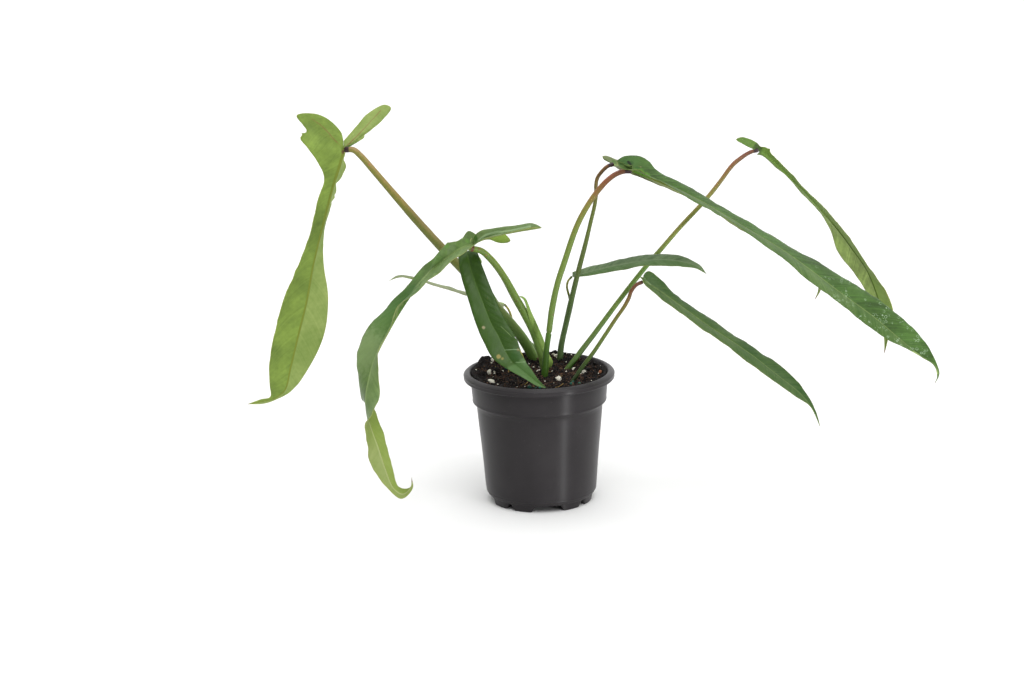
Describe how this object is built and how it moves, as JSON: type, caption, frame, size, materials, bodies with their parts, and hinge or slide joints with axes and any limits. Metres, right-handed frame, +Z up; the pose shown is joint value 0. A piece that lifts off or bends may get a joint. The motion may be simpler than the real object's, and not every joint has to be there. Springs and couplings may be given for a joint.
{
  "type": "potted philodendron",
  "caption": "Young climbing aroid with long arching stalks and long narrow hanging leaf blades, standing in peat soil in a round dark nursery pot.",
  "frame": {"origin": "centre of the pot's underside, on the surface that the pot stands on", "axes": "+Z up; +X along the plant's widest spread, towards the largest leaf; +Y towards the plant's back"},
  "size_m": [0.5508, 0.2077, 0.3092],
  "materials": {
    "pot": "satin",
    "soil": "matte",
    "leaf_blade": "satin",
    "leaf_stalk": "satin",
    "sheath": "satin"
  },
  "bodies": {
    "root": {"pot": "pot", "soil": "soil", "stalk_a": "leaf_stalk", "stalk_b": "leaf_stalk", "stalk_c": "leaf_stalk", "stalk_d": "leaf_stalk", "stalk_e": "leaf_stalk", "stalk_f": "leaf_stalk", "stalk_g": "leaf_stalk", "stalk_h": "leaf_stalk", "stalk_i": "leaf_stalk", "sheath_d": "sheath", "cataphyll_b": "sheath", "blade_a": "leaf_blade", "blade_b": "leaf_blade", "blade_c": "leaf_blade", "blade_d": "leaf_blade", "blade_e": "leaf_blade", "blade_f": "leaf_blade", "blade_g": "leaf_blade", "blade_h": "leaf_blade", "blade_i": "leaf_blade"}
  },
  "joints": []
}
